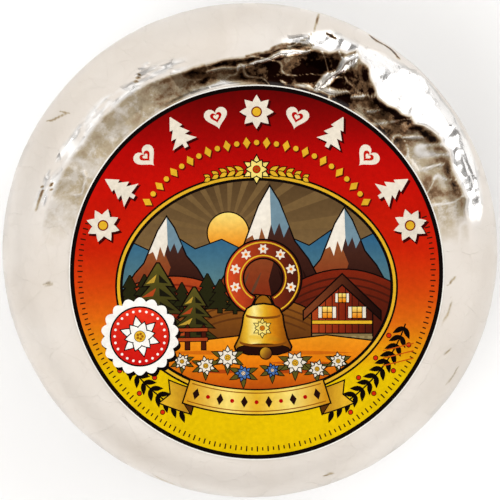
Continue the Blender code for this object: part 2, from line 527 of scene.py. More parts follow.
def draw_barn(art):
    """A barn of planks on a stone foot, with a broad roof, a gold beam and shuttered windows."""
    x, y, wide, tall = 19.5, -16, 6.8, 7
    left, right, eaves, peak = x - wide, x + wide, y + tall, y + tall + 6.2

    def across(*stops):
        return fade((left, y), (right, y), *stops)

    walls = [(left, y), (right, y), (right, eaves), (x, peak), (left, eaves)]
    art.lined(walls, across((0, PALE_RUST), (0.55, RUST), (1, BROWN)), 0.34)
    for plank in range(1, 9):
        middle = left + plank * wide * 2 / 9
        top = eaves + (peak - eaves) * (1 - abs(middle - x) / wide)
        art.add(box(middle - 0.1, y, middle + 0.1, top), DARK_BROWN)
    art.lined(box(left, y - 0.4, right, y + 2), across((0, PALE_TAN), (1, (128, 110, 70))), 0.28)
    for row, shift in ((0.45, 0), (1.3, 0.9)):
        for stone in range(7):
            start = left + 0.6 + shift + stone * 1.85
            art.add(box(start, y + row - 0.32, start + 1.1, y + row + 0.2), (150, 132, 88))
    roof = [(left - 1.9, eaves - 1.5), (x, peak + 0.2), (right + 1.9, eaves - 1.5),
            (right + 1.9, eaves + 0.2), (x, peak + 2.3), (left - 1.9, eaves + 0.2)]
    art.lined(roof, across((0, (120, 60, 30)), (1, DARK_BROWN)), 0.34)
    art.lined(box(left, y + 4.3, right, y + 5), GOLD, 0.18)
    for window in (-3.4, 3.4):
        draw_window(art, (x + window, y + 6.9), 1.05, 1.25)
    draw_window(art, (x, peak - 3), 0.8, 1)


def draw_window(art, middle, half_wide, half_tall):
    """A lit window with a cross of bars and a pair of cream shutters."""
    x, y = middle
    low, high = y - half_tall, y + half_tall
    for side in (-half_wide, half_wide):
        art.lined(box(x + side, low, x + side * 1.9, high), CREAM, 0.14)
    pane = box(x - half_wide, low, x + half_wide, high)
    art.lined(pane, blend((x, high), (x, low), PALE_GOLD, AMBER), 0.2)
    art.add(box(x - 0.09, low, x + 0.09, high), DARK_BROWN)
    art.add(box(x - half_wide, y - 0.09, x + half_wide, y + 0.09), DARK_BROWN)


def draw_meadow(art):
    """The orange ground in front, with darker ruts and a rail fence."""
    crest = [(-34, -15.5), (-24, -14.2), (-14, -15.8), (-4, -14.6), (6, -15.6), (16, -14.4), (26, -15.6),
             (34, -14.8), (34, -34), (-34, -34)]
    ground = fade((0, -14), (0, PICTURE_FOOT), (0, (236, 150, 28)), (0.5, AMBER), (1, (176, 70, 12)))
    art.lined(crest, ground, 0.32)
    ruts = ((-18.3, 24, (206, 104, 12)), (-20.6, 19, (190, 86, 14)), (-22.6, 15, (168, 66, 12)))
    for y, reach, tone in ruts:
        for side in (-1, 1):
            art.add(placed(leaf(reach * 0.8, 0.9, 8), (side * 3, y), -90 * side), tone)
    for post in range(6):
        x = -31 + post * 3.7
        outline = [(x, -17.6), (x + 0.9, -17.6), (x + 0.9, -12.6), (x + 0.45, -12), (x, -12.6)]
        art.lined(outline, BROWN, 0.2)
    for y in (-13.8, -16):
        art.lined([(-33, y), (-11.2, y + 0.4), (-11.2, y + 1.1), (-33, y + 0.7)], PALE_RUST, 0.2)


def draw_bell(art):
    """A brass bell on a broad strap set with flowers, the middle of the picture."""
    x, y = 1.5, -10.5
    strap = (x, y + 9.2)
    leather = blend((x - 8, 0), (x + 8, 0), (206, 70, 30), BROWN)
    art.lined(strip(strap, 4.7, 8.6, -66, 246, 44), leather, 0.4)
    for reach in (5, 8):
        art.add(strip(strap, reach, reach + 0.32, -62, 242, 40), GOLD)
    for number in range(7):
        middle = spot(6.66, number * 36 - 18, strap)
        for petal in range(6):
            art.add(placed(leaf(1.25, 0.72, 5), middle, number * 36 - 18 + petal * 60), CREAM)
        art.add(disc(middle, 0.36, 10), AMBER)
    art.lined(strip((x, y + 2.2), 0.9, 2, -10, 190, 14, 1.5), OLD_GOLD, 0.3)
    half = [(0, -8.3), (3.4, -8), (6.1, -7.1), (6.3, -6.4), (5.3, -4.4), (4.6, -1.6), (4.3, 0.6),
            (3.6, 2.1), (2.3, 2.9), (0, 3.2)]
    body = mirrored(half)[1:-1] + (x, y)
    brass = fade(
        (x - 6.2, y), (x + 6.2, y),
        (0, OLD_GOLD), (0.18, GOLD), (0.34, (252, 236, 150)), (0.5, GOLD), (0.72, (204, 122, 12)),
        (1, (120, 62, 10)),
    )
    art.lined(body, brass, 0.42)
    art.lined(disc((x, y - 7.1), 5.9, 36, 0.20), DARK_BROWN, 0.22)
    clapper = blend((x - 1, y - 7), (x + 2, y - 9), GOLD, BROWN)
    art.lined(disc((x + 0.6, y - 7.9), 1.3, 20), clapper, 0.25)
    for drop, reach in ((-5, 5.35), (1.1, 3.95)):
        upper = arc((x, y + drop), reach, 180, 360, 18, 0.18)
        lower = arc((x, y + drop - 0.55), reach, 360, 180, 18, 0.18)
        art.add(np.vstack((upper, lower)), (128, 70, 12))
    draw_flower(art, (x - 0.2, y - 2.2), 2.1, 6, PALE_GOLD, AMBER, 0.16)


def draw_foreground_flowers(art):
    """Mountain flowers and their leaves round the foot of the bell."""
    clumps = ((-6.6, -19.4, 2.5), (-11.6, -21.3, 2.1), (-3, -23, 2.2), (8.8, -20.6, 2.6),
              (13.8, -22, 2), (3.6, -22.3, 1.9), (18.6, -20.2, 1.9), (-17, -20.3, 1.8))
    for x, y, size in clumps:
        for turn in (-70, -115, 70, 115, 180):
            art.lined(placed(leaf(size * 1.5, size * 0.5), (x, y), turn), OLIVE, 0.18)
    for number, (x, y, size) in enumerate(clumps):
        if number % 3 == 2:
            draw_flower(art, (x, y), size * 0.85, 5, (70, 110, 170), CREAM, turn=18)
        else:
            draw_flower(art, (x, y), size, 6, CREAM, GOLD, turn=11 * number)


def draw_frame(art):
    """The picture's border of black and gold lines, laid under the picture."""
    for margin, colour in ((1.75, BLACK), (1.30, GOLD), (0.65, BLACK)):
        art.add(picture_frame(margin), colour)


def draw_crest(art):
    """A gold flower between two sprigs, over the top of the frame."""
    middle = (0, PICTURE_TOP + 2.6)
    for side in (-1, 1):
        for number in range(5):
            foot = (side * (3 + 1.9 * number), middle[1] - 0.4 - 0.10 * number**2)
            for turn in (-62 * side, -122 * side):
                art.lined(placed(leaf(2.3 - 0.2 * number, 0.95), foot, turn), GOLD, 0.2)
    draw_flower(art, middle, 3.1, 6, PALE_GOLD, VERMILION, 0.26)


def draw_ribbon(art):
    """A gold ribbon without words across the foot of the frame, its ends folded behind."""
    hub = (0, 22)
    low, high = 48.9, 54.3
    middle = (low + high) / 2
    behind = 1.9
    for side in (-1, 1):
        start = 270 + side * 15.5
        end = start + side * 7.5
        tail = np.vstack((
            arc(hub, low + behind, start, end, 6),
            [spot(middle + behind, start + side * 5.9, hub)],
            arc(hub, high + behind, end, start, 6),
        ))
        art.lined(tail, blend((side * 12, 0), (side * 20, 0), OLD_GOLD, GOLD), 0.32)
        fold = np.vstack((arc(hub, high, start, start + side * 2.4, 3), [spot(high + behind, start, hub)]))
        art.lined(fold, (84, 46, 8), 0.25)
    gold = fade((-16, 0), (16, 0), (0, (214, 150, 24)), (0.3, PALE_GOLD), (0.5, GOLD), (0.75, PALE_GOLD),
                (1, (206, 140, 20)))
    art.lined(strip(hub, low, high, 270 - 17.9, 270 + 17.9, 40), gold, 0.36)
    for reach in (low + 0.5, high - 0.75):
        art.add(strip(hub, reach, reach + 0.25, 270 - 17.2, 270 + 17.2, 36), OLD_GOLD)
    for number in range(11):
        angle = 270 + (number - 5) * 3.1
        if number % 2:
            art.add(disc(spot(middle, angle, hub), 0.48, 12), RED)
        else:
            art.add(placed(diamond(0.8, 1.35), spot(middle, angle, hub), angle - 90), DARK_BROWN)


def draw_garland(art):
    """Two dark sprigs of leaves and red berries along the yellow foot of the field."""
    radius = 35.9
    for side in (-1, 1):
        art.add(strip((0, 0), radius - 0.17, radius + 0.17, 270 + side * 27, 270 + side * 71, 40), BLACK)
        for number in range(13):
            angle = 270 + side * (29 + 3.4 * number)
            for lean in (-1, 1):
                turn = angle + 90 + side * (90 + lean * 42)
                art.add(placed(leaf(3.1, 1.25), spot(radius, angle), turn), BLACK)
            if number % 3 == 1:
                for lean in (-1, 1):
                    berry = spot(radius + lean * 2.5, angle + side * 1.5)
                    art.add(disc(berry, 0.62, 12), BLACK)
                    art.add(disc(berry, 0.45, 12), (206, 40, 10))


def draw_rim_stitches(art):
    """Short dark strokes inside the ring, round the label's lower part, and three plain lines."""
    radius = FIELD_EDGE - 1.35
    for number in range(124):
        angle = 164 + number * 1.742
        tall = 0.62 if number % 2 else 0.40
        art.add(strip((0, 0), radius - tall, radius + tall, angle - 0.22, angle + 0.22, 2), (52, 20, 4))
    for number in range(3):
        art.add(placed(box(-3.6, -0.13, 3.6, 0.13), (32.3, -17 - 1.7 * number), 14), (196, 84, 10))


def draw_seal(art):
    """A white scalloped seal with a flower on a red ground, over the frame's lower left."""
    middle = np.array((-26.6, -14.6))
    art.add(scallops(middle + (0.55, -0.75), 8, 18, 0.9), BLACK)
    art.add(scallops(middle, 8, 18, 0.9), WHITE)
    art.add(disc(middle, 6.9, 48), BLACK)
    ground = blend(middle + (0, 6.5), middle - (0, 6.5), (232, 52, 28), (196, 18, 12))
    art.add(disc(middle, 6.55, 48), ground)
    for number in range(24):
        art.add(disc(spot(5.75, number * 15, middle), 0.3, 8), WHITE)
    draw_flower(art, middle, 4.5, 6, WHITE, GOLD, 0.24, 12)


def draw_label():
    """The whole design, from the paper up."""
    picture = (
        draw_sky, draw_mountains, draw_hills, draw_forest, draw_barn, draw_meadow, draw_bell,
        draw_foreground_flowers,
    )
    border = (
        draw_procession, draw_beads, draw_crest, draw_garland, draw_rim_stitches, draw_ribbon, draw_seal,
    )
    design = Design()
    for draw in (draw_field, draw_frame, *picture, *border):
        design.framed = draw in picture
        draw(design)
    return design


def to_linear(colour):
    """sRGB numbers from 0 to 255 as linear light."""
    share = np.clip(np.asarray(colour, float) / 255, 0, 1)
    return np.where(share <= 0.04045, share / 12.92, ((share + 0.055) / 1.055) ** 2.4)


def cut_sheet(design, spacing=1.8):
    """Cuts the sheet along every printed outline into points, triangles and each triangle's topmost shape."""
    reach = np.arange(-LABEL_EDGE, LABEL_EDGE, spacing)
    grid = np.array([(x, y) for x in reach for y in reach if math.hypot(x, y) < LABEL_EDGE - spacing])
    points, faces = list(map(tuple, grid)), []
    for outline, _, _ in design.shapes:
        faces.append(list(range(len(points), len(points) + len(outline))))
        points += map(tuple, outline)
    found = delaunay_2d_cdt([Vector(point) for point in points], [], faces, 1, 1e-5)
    frame_shape = next(number for number, shape in enumerate(design.shapes) if shape[2])
    triangles, tops = [], []
    for triangle, covering in zip(found[2], found[5]):
        if 0 in covering:
            seen = [number for number in covering if frame_shape in covering or not design.shapes[number][2]]
            triangles.append(triangle)
            tops.append(max(seen))
    used, triangles = np.unique(triangles, return_inverse=True)
    points = np.array([tuple(point) for point in found[0]])[used]
    return points, triangles.reshape(-1, 3), np.array(tops)


class Nodes:
    """A node tree, with short ways to add nodes to it and link them."""

    def __init__(self, tree):
        self.tree = tree

    def put(self, socket, value):
        """Links a socket to the source of its value, or sets it."""
        if isinstance(value, bpy.types.NodeSocket):
            self.tree.links.new(value, socket)
        else:
            socket.default_value = (*value, 1) if socket.type == "RGBA" else value

    def add(self, kind, *inputs, **settings):
        """A node with its first inputs in order, and its options and other inputs by name."""
        node = self.tree.nodes.new("ShaderNode" + kind)
        for key, value in settings.items():
            if hasattr(node, key):
                setattr(node, key, value)
            else:
                self.put(node.inputs[key], value)
        for socket, value in zip(node.inputs, inputs):
            self.put(socket, value)
        return node

    def noise(self, place, scale, detail=2, **settings):
        return self.add("TexNoise", place, Scale=scale, Detail=detail, **settings).outputs["Fac"]

    def math(self, operation, *values):
        return self.add("Math", *values, operation=operation).outputs[0]

    def vector(self, operation, *values, **settings):
        return self.add("VectorMath", *values, operation=operation, **settings).outputs[0]

    def ranged(self, value, low, high, start=0, end=1):
        """Low at the start of the value's range and high at its end."""
        return self.add("MapRange", value, start, end, low, high).outputs[0]

    def mix(self, share, first, second):
        """A colour between two others."""
        node = self.add("Mix", share, data_type="RGBA")
        self.put(node.inputs[6], first)
        self.put(node.inputs[7], second)
        return node.outputs[2]

    def bump(self, height, strength, distance, **settings):
        return self.add("Bump", Height=height, Strength=strength, Distance=distance, **settings).outputs[0]


def new_material(name):
    """A material, its nodes and its shader's inputs."""
    material = bpy.data.materials.new(name)
    material.use_nodes = True
    return material, Nodes(material.node_tree), material.node_tree.nodes["Principled BSDF"].inputs


def paper_material():
    """Coated paper: its printed ink from the sheet's own colours, mottled, over a faint grain of fibres."""
    material, nodes, shader = new_material("label_paper")
    place = nodes.add("TexCoord").outputs["Object"]
    ink = nodes.add("Attribute", attribute_name="ink").outputs["Color"]
    mottle = nodes.noise(place, 900, 3)
    both = nodes.math("ADD", mottle, nodes.noise(place, 70))
    tone = nodes.ranged(both, 0.69, 0.87, 0.7, 1.3)
    nodes.put(shader["Base Color"], nodes.vector("SCALE", ink, Scale=tone))
    nodes.put(shader["Roughness"], nodes.ranged(mottle, 0.36, 0.50))
    nodes.put(shader["Specular IOR Level"], 0.03)
    nodes.put(shader["Normal"], nodes.bump(nodes.noise(place, 2600), 0.25, 0.00004))
    return material


def make_label():
    """One thin sheet of paper with its design cut into its upper side, lying in gentle waves on the foil."""
    design = draw_label()
    flat_points, triangles, tops = cut_sheet(design)
    waves = Waves(3)

    def raised(points, height):
        """The sheet's points in metres, at a height over which it waves."""
        wave = PAPER_WAVE * waves(*(points / PAPER_WAVE_LENGTH).T)
        return np.column_stack((LABEL_MIDDLE + points * MM, height + wave))

    edge = np.flatnonzero(np.hypot(*flat_points.T) > LABEL_EDGE * 0.9995)
    edge = edge[np.argsort(np.arctan2(flat_points[edge, 1], flat_points[edge, 0]))]
    upper = raised(flat_points, PAPER_TOP)
    lower = raised(flat_points[edge], PAPER_TOP - PAPER_THICKNESS)
    under = len(upper) + np.arange(len(edge))
    sides = np.column_stack((edge, under, np.roll(under, -1), np.roll(edge, -1)))
    faces = [*triangles.tolist(), *sides.tolist(), under[::-1].tolist()]

    mesh = bpy.data.meshes.new("printed_label")
    mesh.from_pydata(np.vstack((upper, lower)).tolist(), [], faces)
    colours = np.ones((len(mesh.loops), 4))
    colours[:, :3] = to_linear(WHITE)
    corners = flat_points[triangles].reshape(-1, 2)
    shown = np.repeat(tops, 3)
    for number in np.unique(tops):
        chosen = np.flatnonzero(shown == number)
        colours[chosen, :3] = to_linear(design.shapes[number][1](corners[chosen]))
    layer = mesh.color_attributes.new("ink", "FLOAT_COLOR", "CORNER")
    layer.data.foreach_set("color", colours.ravel())
    mesh.materials.append(paper_material())
    mesh.shade_flat()
    mesh.validate()
    label = bpy.data.objects.new("printed_label", mesh)
    bpy.context.scene.collection.objects.link(label)
    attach(label, "root")
    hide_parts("label")


# The foil's profile, by distances along it from the middle of the upper face
PATH_SHOULDER = FLAT_RADIUS
PATH_SIDE = PATH_SHOULDER + EDGE_ROUND * math.pi / 2
PATH_FOOT = PATH_SIDE + SIDE_TOP - EDGE_ROUND
PATH_BASE = PATH_FOOT + EDGE_ROUND * math.pi / 2
PATH_END = PATH_BASE + FLAT_RADIUS

# How finely the foil is cut: its rows, as (distance along the profile, spacing from there on), and the
# columns to each pleat, fine ones within a span in degrees
ROWS = (
    (0.012, 0.008), (0.0372, 0.00039), (0.0600, 0.0008), (PATH_SIDE, 0.0013), (PATH_FOOT, 0.0013),
    (PATH_BASE, 0.0040), (PATH_END - 0.002, 0.0040),
)
FINE_COLUMNS = 34
COARSE_COLUMNS = 19
FINE_SPAN = (-12, 188)

# The crumpled zone outside the rim, and where it ends, as (degrees, distance from the axis)
CRUMPLE_SPAN = (4, 84)
CRUMPLE_END = (
    (4, 0.0530), (12, 0.0550), (33, 0.0568), (45, 0.0569), (52, 0.0550), (61, 0.0535), (70, 0.0540),
    (77, 0.0505), (84, 0.0490),
)

# The hollow inside the rim, as (degrees, share): how dark its painted reflection of the room is, how far
# across it that painted dark begins, how dark the steep part under the crest is painted, and how burnished
# it is
VALLEY_SPAN = (4, 178)
VALLEY_DARK = (
    (0, 0), (10, 0.16), (24, 0.42), (34, 0.44), (46, 0.66), (62, 1.05), (86, 1), (98, 0.78), (112, 0.38),
    (126, 0.21), (160, 0.15), (182, 0),
)
VALLEY_START = ((20, -0.3), (60, -0.3), (88, -0.2), (100, 0.05), (112, -0.1), (120, -0.3))
STEEP_DARK = (
    (6, 0), (16, 0.55), (34, 0.9), (50, 1), (66, 0.8), (96, 0.7), (112, 0.46), (128, 0.26), (156, 0.1),
    (170, 0),
)
STEEP_START = 0.55
VALLEY_POLISH = ((4, 0.5), (30, 0.75), (44, 1), (110, 1), (128, 0.5), (178, 0.3))
DARKEST = 1.3

# Random relief, as the height and the lengths along the two directions that it varies in
CRUSH = (0.00042, 0.0050, 0.0060)
SMALL_CRUSH = (0.00013, 0.0021, 0.0030)
CRUSH_LINES = (0.00016, 0.0060, 0.0040)
POCKS = (0.00017, 0.0026, 0.0026)
SMALL_POCKS = (0.00006, 0.0012, 0.0012)
DENTS = (0.00010, 0.0080, 0.0080)
SMALL_DENTS = (0.00003, 0.0025, 0.0025)

# In the same way, how far the patterns of that relief and the listed folds are bent out of line
BEND = (1, 0.008, 0.008)
FOLD_SWAY = (0.0006, 0.0032, 0.0032)

# Where along the profile the dents grow deeper, and how much is added to them
SHOULDER_START = 0.049
SHOULDER_DENTS = 1.6

# The side's start along the profile, and its relief as (height, how many go round, length along the profile)
SIDE_START = 0.055
SIDE_SWAY = (0.8, 22, 0.016)
SIDE_PANELS = (0.00080, 44, 0.0105)
SIDE_CHIPS = (0.00040, 104, 0.0042)
SIDE_SEAMS = (0.00080, 30, 0.034)
SIDE_INSET = 0.00055
SIDE_TOP_SHARE = 0.20

# How far the foil is gathered under the foot, in steps at the pleats and at random
GATHERS = (0.0005, 0.0006)

# Folds and creases of the upper face: where each starts and ends as (degrees, mm), its half width and height
# in mm, and how dark the painted shade along its line is
FOLDS = (
    ((61, 50.6), (64.5, 44.5), 2.1, 1.3, 0),
    ((64, 45.5), (68, 39.2), 1.9, 1.1, 0),
    ((67.5, 40), (58, 42), 1.2, 0.7, 0),
    ((68, 39.4), (80, 38.7), 1.2, 0.6, 0),
    ((90, 42.6), (73.4, 47.9), 1, 0.8, 0),
    ((90, 42.6), (104, 41.6), 0.8, 0.35, 0),
    ((91, 44.1), (76.5, 48.5), 0.45, -0.5, 0.7),
    ((76.5, 48.5), (73, 49.2), 0.4, -0.3, 0.5),
    ((73.2, 56.3), (73.8, 52.4), 0.30, -0.25, 0.55),
    ((73.8, 52.4), (77, 48.9), 0.30, -0.2, 0.25),
    ((61, 56.6), (57, 56.3), 0.35, -0.3, 0.75),
    ((57, 56.3), (51.4, 55.6), 0.35, -0.3, 0.85),
    ((70.6, 52.8), (68, 52.2), 0.40, -0.3, 0.9),
    ((144, 54.1), (142.8, 52), 0.25, -0.15, 0.3),
    ((148.3, 55.4), (142.7, 52.2), 0.25, -0.15, 0.28),
    ((163, 49.6), (170, 49.7), 0.30, -0.25, 0.5),
    ((161, 47.4), (163.5, 47.2), 0.25, -0.2, 0.5),
    ((121.5, 48.1), (117.5, 48.9), 0.5, 0.35, 0),
    ((124.5, 47), (122, 47.6), 0.30, -0.2, 0.6),
    ((154, 42.4), (156.5, 40.6), 0.5, 0.3, 0),
    ((156.5, 40.6), (161, 40.2), 0.5, 0.3, 0),
    ((161, 40.2), (163, 42.2), 0.5, 0.25, 0),
    ((190, 45.9), (189.3, 47.6), 0.7, -0.2, 0.2),
    ((247, 56.2), (252, 56.4), 0.35, -0.2, 0.3),
    ((288, 54.6), (290, 54.4), 0.35, -0.15, 0.35),
    ((325, 54.6), (331, 55.2), 0.30, -0.2, 0.25),
    ((332, 50.1), (333.5, 50.6), 0.30, -0.2, 0.3),
    ((338, 47.4), (347, 47), 0.35, -0.15, 0.2),
    ((350, 45.8), (353, 46.6), 0.35, -0.2, 0.3),
    ((37, 42.8), (33, 47), 0.6, 0.5, 0),
    ((25, 43.4), (24, 48.4), 0.6, 0.4, 0),
    ((50, 41.2), (47, 44), 0.7, 0.5, 0),
    ((57, 40.8), (53, 44.5), 0.7, 0.6, 0),
)


def turned_form(path):
    """Radius, height and the outward direction's two shares, at a distance along the profile."""
    shoulder = np.clip((path - PATH_SHOULDER) / EDGE_ROUND, 0, math.pi / 2)
    foot = np.clip((path - PATH_FOOT) / EDGE_ROUND, 0, math.pi / 2)
    radius = np.minimum(path, PATH_SHOULDER) + EDGE_ROUND * (np.sin(shoulder) - 1 + np.cos(foot))
    radius = radius - np.maximum(path - PATH_BASE, 0)
    height = WHEEL_HEIGHT - EDGE_ROUND * (1 - np.cos(shoulder) + np.sin(foot))
    height = height - np.clip(path - PATH_SIDE, 0, PATH_FOOT - PATH_SIDE)
    return radius, height, np.sin(shoulder + foot), np.cos(shoulder + foot)


def label_edge(angle):
    """How far the label's edge is from the wheel's axis."""
    x, y = LABEL_MIDDLE
    along = x * np.cos(angle) + y * np.sin(angle)
    return along + np.sqrt(LABEL_RADIUS**2 - x * x - y * y + along * along)


def rim_crest(angle):
    """The crest's distance from the axis, a little ragged where the foil is crumpled."""
    ragged = patch(degrees_of(angle), 2, 84, 6)
    jitter = Facets(21)(np.degrees(angle) / 2.2, np.zeros_like(angle)) * 0.0007
    return by_angle(RIM_CREST, angle) + ragged * jitter


def valley_share(angle, path):
    """How far across the valley a point is, from 0 at the label to 1 at the crest."""
    start = label_edge(angle) + RIM_START
    return np.clip((path - start) / (rim_crest(angle) - start), 0, 1)


def rim_height(angle, path):
    """The raised rim: a floor beside the label, a slope up to the crest, and a long fall outside it."""
    crest = rim_crest(angle)
    inside = valley_share(angle, path)
    floor = by_angle(RIM_FLOOR, angle)
    outside = np.clip((path - crest) / RIM_RUN, 0, 1)
    slope = 0.14 * inside + 0.86 * np.clip((inside - floor) / (1 - floor), 0, 1) ** 1.15
    return by_angle(RIM_LIFT, angle) * np.where(path < crest, slope, (1 - outside) ** 2)


def pleat_layout():
    """For each pleat, the angle of its edge, how far that edge leans, its top's height and its full depth."""
    draw = random.Random(PLEAT_SEED)
    spacing = 2 * math.pi / PLEATS
    rows = []
    for number in range(PLEATS):
        edge = (number + draw.uniform(-PLEAT_JITTER, PLEAT_JITTER)) * spacing
        lean = draw.uniform(-PLEAT_LEAN, PLEAT_LEAN) * spacing
        rows.append((edge, lean, draw.uniform(*PLEAT_TOP), draw.uniform(*PLEAT_DEPTH)))
    return np.array(rows)


def foil_rows():
    """Distances along the profile at which the foil has a row of points."""
    rows = []
    for (start, spacing), (end, _) in zip(ROWS, ROWS[1:]):
        rows += list(np.linspace(start, end, max(2, round((end - start) / spacing) + 1))[:-1])
    return np.array([*rows, ROWS[-1][0]])


def foil_columns():
    """Each column's pleat and its share of the way across it."""
    spacing = 360 / PLEATS
    columns = []
    for pleat in range(PLEATS):
        middle = ((pleat + 0.5) * spacing + 90) % 360 - 90
        fine = FINE_SPAN[0] < middle < FINE_SPAN[1]
        shares = np.linspace(PLEAT_STEP, 1, FINE_COLUMNS if fine else COARSE_COLUMNS)[:-1]
        columns += [(pleat, 0), *((pleat, share) for share in shares)]
    return np.array([pleat for pleat, _ in columns]), np.array([share for _, share in columns])


def crest_rows(rows, angle):
    """The rows' distances in each column, moved so that one row follows the rim's crest."""
    near, far = ROWS[1][0], ROWS[2][0]
    followed = rows[np.argmin(np.abs(rows - (near + far) / 2))]
    crest = followed + patch(degrees_of(angle), -14, 200, 12) * (rim_crest(angle) - followed)
    fixed = (0, near, followed, far, PATH_END)
    return np.column_stack([np.interp(rows, fixed, (0, near, aim, far, PATH_END)) for aim in crest])


def fold_relief(x, y):
    """Height that the listed folds and creases give the upper face, and the painted shade along their lines.
    """
    height, dark = np.zeros_like(x), np.zeros_like(x)
    x = x + crumples(Waves(41), FOLD_SWAY, x, y)
    y = y + crumples(Waves(42), FOLD_SWAY, x, y)
    for first, last, width, lift, shade in FOLDS:
        start, end = (np.array(direction(turn, 90)[:2]) * reach * MM for turn, reach in (first, last))
        run = end - start
        share = np.clip(((x - start[0]) * run[0] + (y - start[1]) * run[1]) / np.dot(run, run), 0, 1)
        away = np.hypot(x - start[0] - share * run[0], y - start[1] - share * run[1])
        tent = np.clip(1 - away / (width * MM * (0.35 + 2.6 * share * (1 - share))), 0, 1)
        height = np.where(np.abs(tent * lift * MM) > np.abs(height), tent * lift * MM, height)
        dark = np.maximum(dark, shade * smooth(1.6 * tent))
    return height, dark


class Skin:
    """The foil before its relief: where its points lie, row by row, and how far each zone takes them in."""

    def __init__(self):
        pleat, share = foil_columns()
        layout = pleat_layout()
        following = (pleat + 1) % PLEATS
        start = layout[pleat, 0]
        end = layout[following, 0] + np.where(following == 0, 2 * math.pi, 0)
        path = crest_rows(foil_rows(), start + (end - start) * share)
        radius, height, self.across, self.up = turned_form(path)
        lean = smooth((SIDE_TOP - height) / SIDE_TOP)
        start, end = start + layout[pleat, 1] * lean, end + layout[following, 1] * lean
        angle = start + (end - start) * share
        self.share, self.path, self.radius, self.height, self.angle = share, path, radius, height, angle
        self.x, self.y = radius * np.cos(angle), radius * np.sin(angle)
        self.turn = degrees_of(angle)
        self.along = angle * WHEEL_RADIUS
        self.bend = crumples(Waves(34), BEND, self.x, self.y)
        self.crest = rim_crest(angle)
        depth = layout[pleat, 3] * smooth((layout[pleat, 2] - height) / PLEAT_RUN)
        self.pleats = depth * np.where(share == 0, 0, 1 - share)

        self.on_top = fall(path, PATH_SIDE, 0.005)
        self.clear = rise(radius, label_edge(angle) + RIM_START / 2, 0.0007)
        self.crumpled = patch(self.turn, *CRUMPLE_SPAN, 7) * rise(path, self.crest, 0.0010)
        self.crumpled = self.crumpled * fall(radius, by_angle(CRUMPLE_END, angle), 0.0012) * self.on_top
        self.valley = patch(self.turn, *VALLEY_SPAN, 8) * fall(path, self.crest, 0.0006) * self.clear
        self.side = rise(path, SIDE_START + 0.001, 0.010) * fall(path, PATH_BASE + 0.004, 0.008)

    def around(self, kind, seed, size, shift=0, second_shift=0):
        """Random heights that join up all the way round the wheel."""
        height, count, length = size
        noise = kind(seed, count)
        return height * noise(self.angle / (2 * math.pi) * count + shift, self.path / length + second_shift)


def top_relief(skin):
    """Crushed facets and creases on the crumpled zone, pocks in the valley and dents over the rest."""
    x, y, path, along, bend = skin.x, skin.y, skin.path, skin.along, skin.bend
    large, small, fine = Facets(31), Facets(32), Facets(33)
    crush = crumples(large, CRUSH, along, path, bend)
    crush = crush + crumples(small, SMALL_CRUSH, along, path, 0, bend)
    crush = crush - crumples(Cracks(35, width=0.16), CRUSH_LINES, along, path, bend)
    pocks = crumples(small, POCKS, x, y, bend) + crumples(fine, SMALL_POCKS, x, y, 0, bend)
    dents = crumples(large, DENTS, x, y, bend) + crumples(fine, SMALL_DENTS, x, y)
    dents = dents * (1 + SHOULDER_DENTS * rise(path, SHOULDER_START, 0.008))
    rest = skin.clear * skin.on_top * (1 - skin.crumpled) * (1 - skin.valley)
    return skin.crumpled * crush + skin.valley * pocks + rest * dents


def side_relief(skin):
    """The barrel shape and the pleats, under crushed panels and seams that are shallow near the shoulder."""
    sway = skin.around(Waves, 36, SIDE_SWAY)
    creased = skin.around(Facets, 37, SIDE_PANELS, sway, sway)
    creased = creased + skin.around(Facets, 38, SIDE_CHIPS, sway, sway)
    creased = creased - skin.around(Cracks, 39, SIDE_SEAMS, sway) - SIDE_INSET
    depth = SIDE_TOP_SHARE + (1 - SIDE_TOP_SHARE) * fall(skin.height, SIDE_TOP - 0.003, 0.026)
    barrel = np.clip((skin.height - EDGE_ROUND) / (SIDE_TOP - EDGE_ROUND), 0, 1)
    return skin.side * creased * depth + BARREL * 4 * barrel * (1 - barrel) + skin.pleats


def burnish_of(skin, fold):
    """How burnished the foil is: on the crumpled zone, in the valley, on the side, and on folds and crest."""
    burnish = np.maximum(skin.crumpled, skin.valley * by_angle(VALLEY_POLISH, skin.angle))
    burnish = np.maximum(burnish, 0.9 * rise(skin.path, SIDE_START, 0.012))
    burnish = np.maximum(burnish, 0.6 * smooth(np.abs(fold) / 0.0003))
    ridge = patch(skin.turn, 106, 174, 8) * patch(skin.path - skin.crest, -0.0010, 0.0036, 0.0012)
    flecks = 0.5 + crumples(Facets(32), (1.3, 0.0050, 0.0009), skin.along, skin.path, 0, skin.bend)
    return np.maximum(burnish, ridge * smooth(flecks))


def darkness_of(skin, fold, lines):
    """How dark the foil's colour is painted: a painted reflection of a dark room in the valley, broken by
    wrinkles and folds, and painted shade in the creases.
    """
    angle, path = skin.angle, skin.path
    inside = valley_share(angle, path)
    gloom = by_angle(VALLEY_DARK, angle) * rise(inside, by_angle(VALLEY_START, angle), 0.30)
    gloom = np.maximum(gloom, by_angle(STEEP_DARK, angle) * rise(inside, STEEP_START, 0.25))
    gloom = gloom * (1 + crumples(Facets(32), (0.60, 0.0042, 0.0042), skin.x, skin.y, 0, skin.bend))
    wrinkles = crumples(Cracks(43, width=0.12), (1, 0.0046, 0.0046), skin.x, skin.y, skin.bend)
    gloom = gloom * (1 - wrinkles * (0.30 + 0.65 * fall(skin.turn, 112, 20)))
    gloom = gloom * smooth((skin.crest - path) / 0.0013 + 0.25)
    gloom = gloom * (1 - 0.9 * smooth(fold / 0.0004))
    gloom = gloom * rise(skin.radius, label_edge(angle) - 0.0002, 0.0004)
    return np.clip(np.maximum(lines * skin.clear, gloom), 0, DARKEST) * skin.on_top


